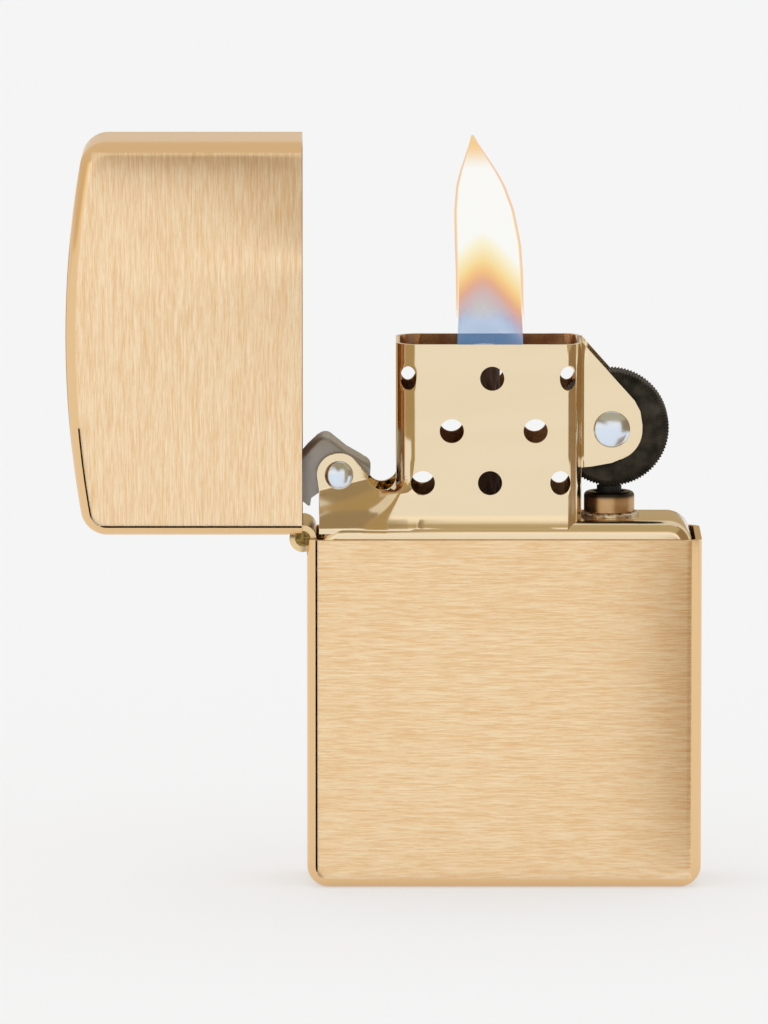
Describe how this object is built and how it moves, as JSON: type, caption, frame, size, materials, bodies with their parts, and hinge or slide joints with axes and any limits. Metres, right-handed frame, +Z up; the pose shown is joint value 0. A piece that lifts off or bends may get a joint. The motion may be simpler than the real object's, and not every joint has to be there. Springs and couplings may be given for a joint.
{
  "type": "flip-top windproof petrol lighter",
  "caption": "Flip-top windproof petrol lighter: hinged brass case, lift-out insert, perforated chimney, striker wheel, sprung flint, wick and lid cam.",
  "frame": {"origin": "centre of the case's flat bottom face", "axes": "+X to the right seen from the front, away from the hinge; +Y from the front face to the back face; +Z up, out of the case's mouth"},
  "size_m": [0.0615, 0.0128, 0.0726],
  "materials": {
    "brushed_brass": "brushed satin, lacquered, with polished edges",
    "polished_brass": "polished",
    "dark_brass": "darkened, rough",
    "bronze": "satin bronze",
    "solder": "bright, uneven",
    "wick_cotton": "woven",
    "packing_cotton": "soft, loose fibres",
    "felt": "pressed felt",
    "grey_steel": "stamped, satin",
    "nickel": "bright nickel",
    "dark_steel": "hardened, dark, toothed",
    "flint": "matt grey"
  },
  "bodies": {
    "base": {"base_shell": "brushed_brass", "base_hinge_leaf": "polished_brass", "hinge_pin": "dark_brass"},
    "lid": {"lid_shell": "brushed_brass", "lid_hinge_leaf": "polished_brass"},
    "insert": {"insert_shell": "polished_brass", "wick_plate": "polished_brass", "flint_tube": "bronze", "flint_tube_ring": "solder", "wick": "wick_cotton", "wick_wire": "bronze", "packing_balls": "packing_cotton", "felt_pad": "felt", "cam_spring": "grey_steel", "cam_spring_rivets": "nickel", "cam_rivet": "nickel", "wheel_rivet": "nickel"},
    "cam": {"cam_lever": "grey_steel"},
    "wheel": {"striker_wheel": "dark_steel"},
    "screw": {"flint_screw": "polished_brass"},
    "flint": {"flint": "flint", "flint_spring_tip": "nickel", "flint_spring": "nickel"}
  },
  "joints": [
    {"name": "lid_hinge", "type": "hinge", "parent": "base", "child": "lid", "pos_m": [-0.0195, 0, 0.034], "axis": [0, -1, 0], "range_deg": [-90, 20]},
    {"name": "insert_slide", "type": "slide", "parent": "base", "child": "insert", "axis": [0, 0, 1], "range_m": [0, 0.002]},
    {"name": "cam_pivot", "type": "hinge", "parent": "insert", "child": "cam", "pos_m": [-0.016, 0, 0.04], "axis": [0, -1, 0], "range_deg": [-108, 24]},
    {"name": "wheel_spin", "type": "hinge", "parent": "insert", "child": "wheel", "pos_m": [0.01035, 0, 0.0444], "axis": [0, 1, 0], "continuous": true},
    {"name": "flint_screw_turn", "type": "hinge", "parent": "insert", "child": "screw", "pos_m": [0.0102, 0, 0.002], "axis": [0, 0, 1], "continuous": true},
    {"name": "flint_travel", "type": "slide", "parent": "insert", "child": "flint", "axis": [0, 0, 1], "range_m": [-0.0015, 0], "stiffness_N_per_m": 300, "springref_m": 0.004, "deforming": ["flint_spring"]}
  ],
  "couplings": [
    {"joint": "cam_pivot", "follows": "lid_hinge", "ratio": 1.2}
  ]
}
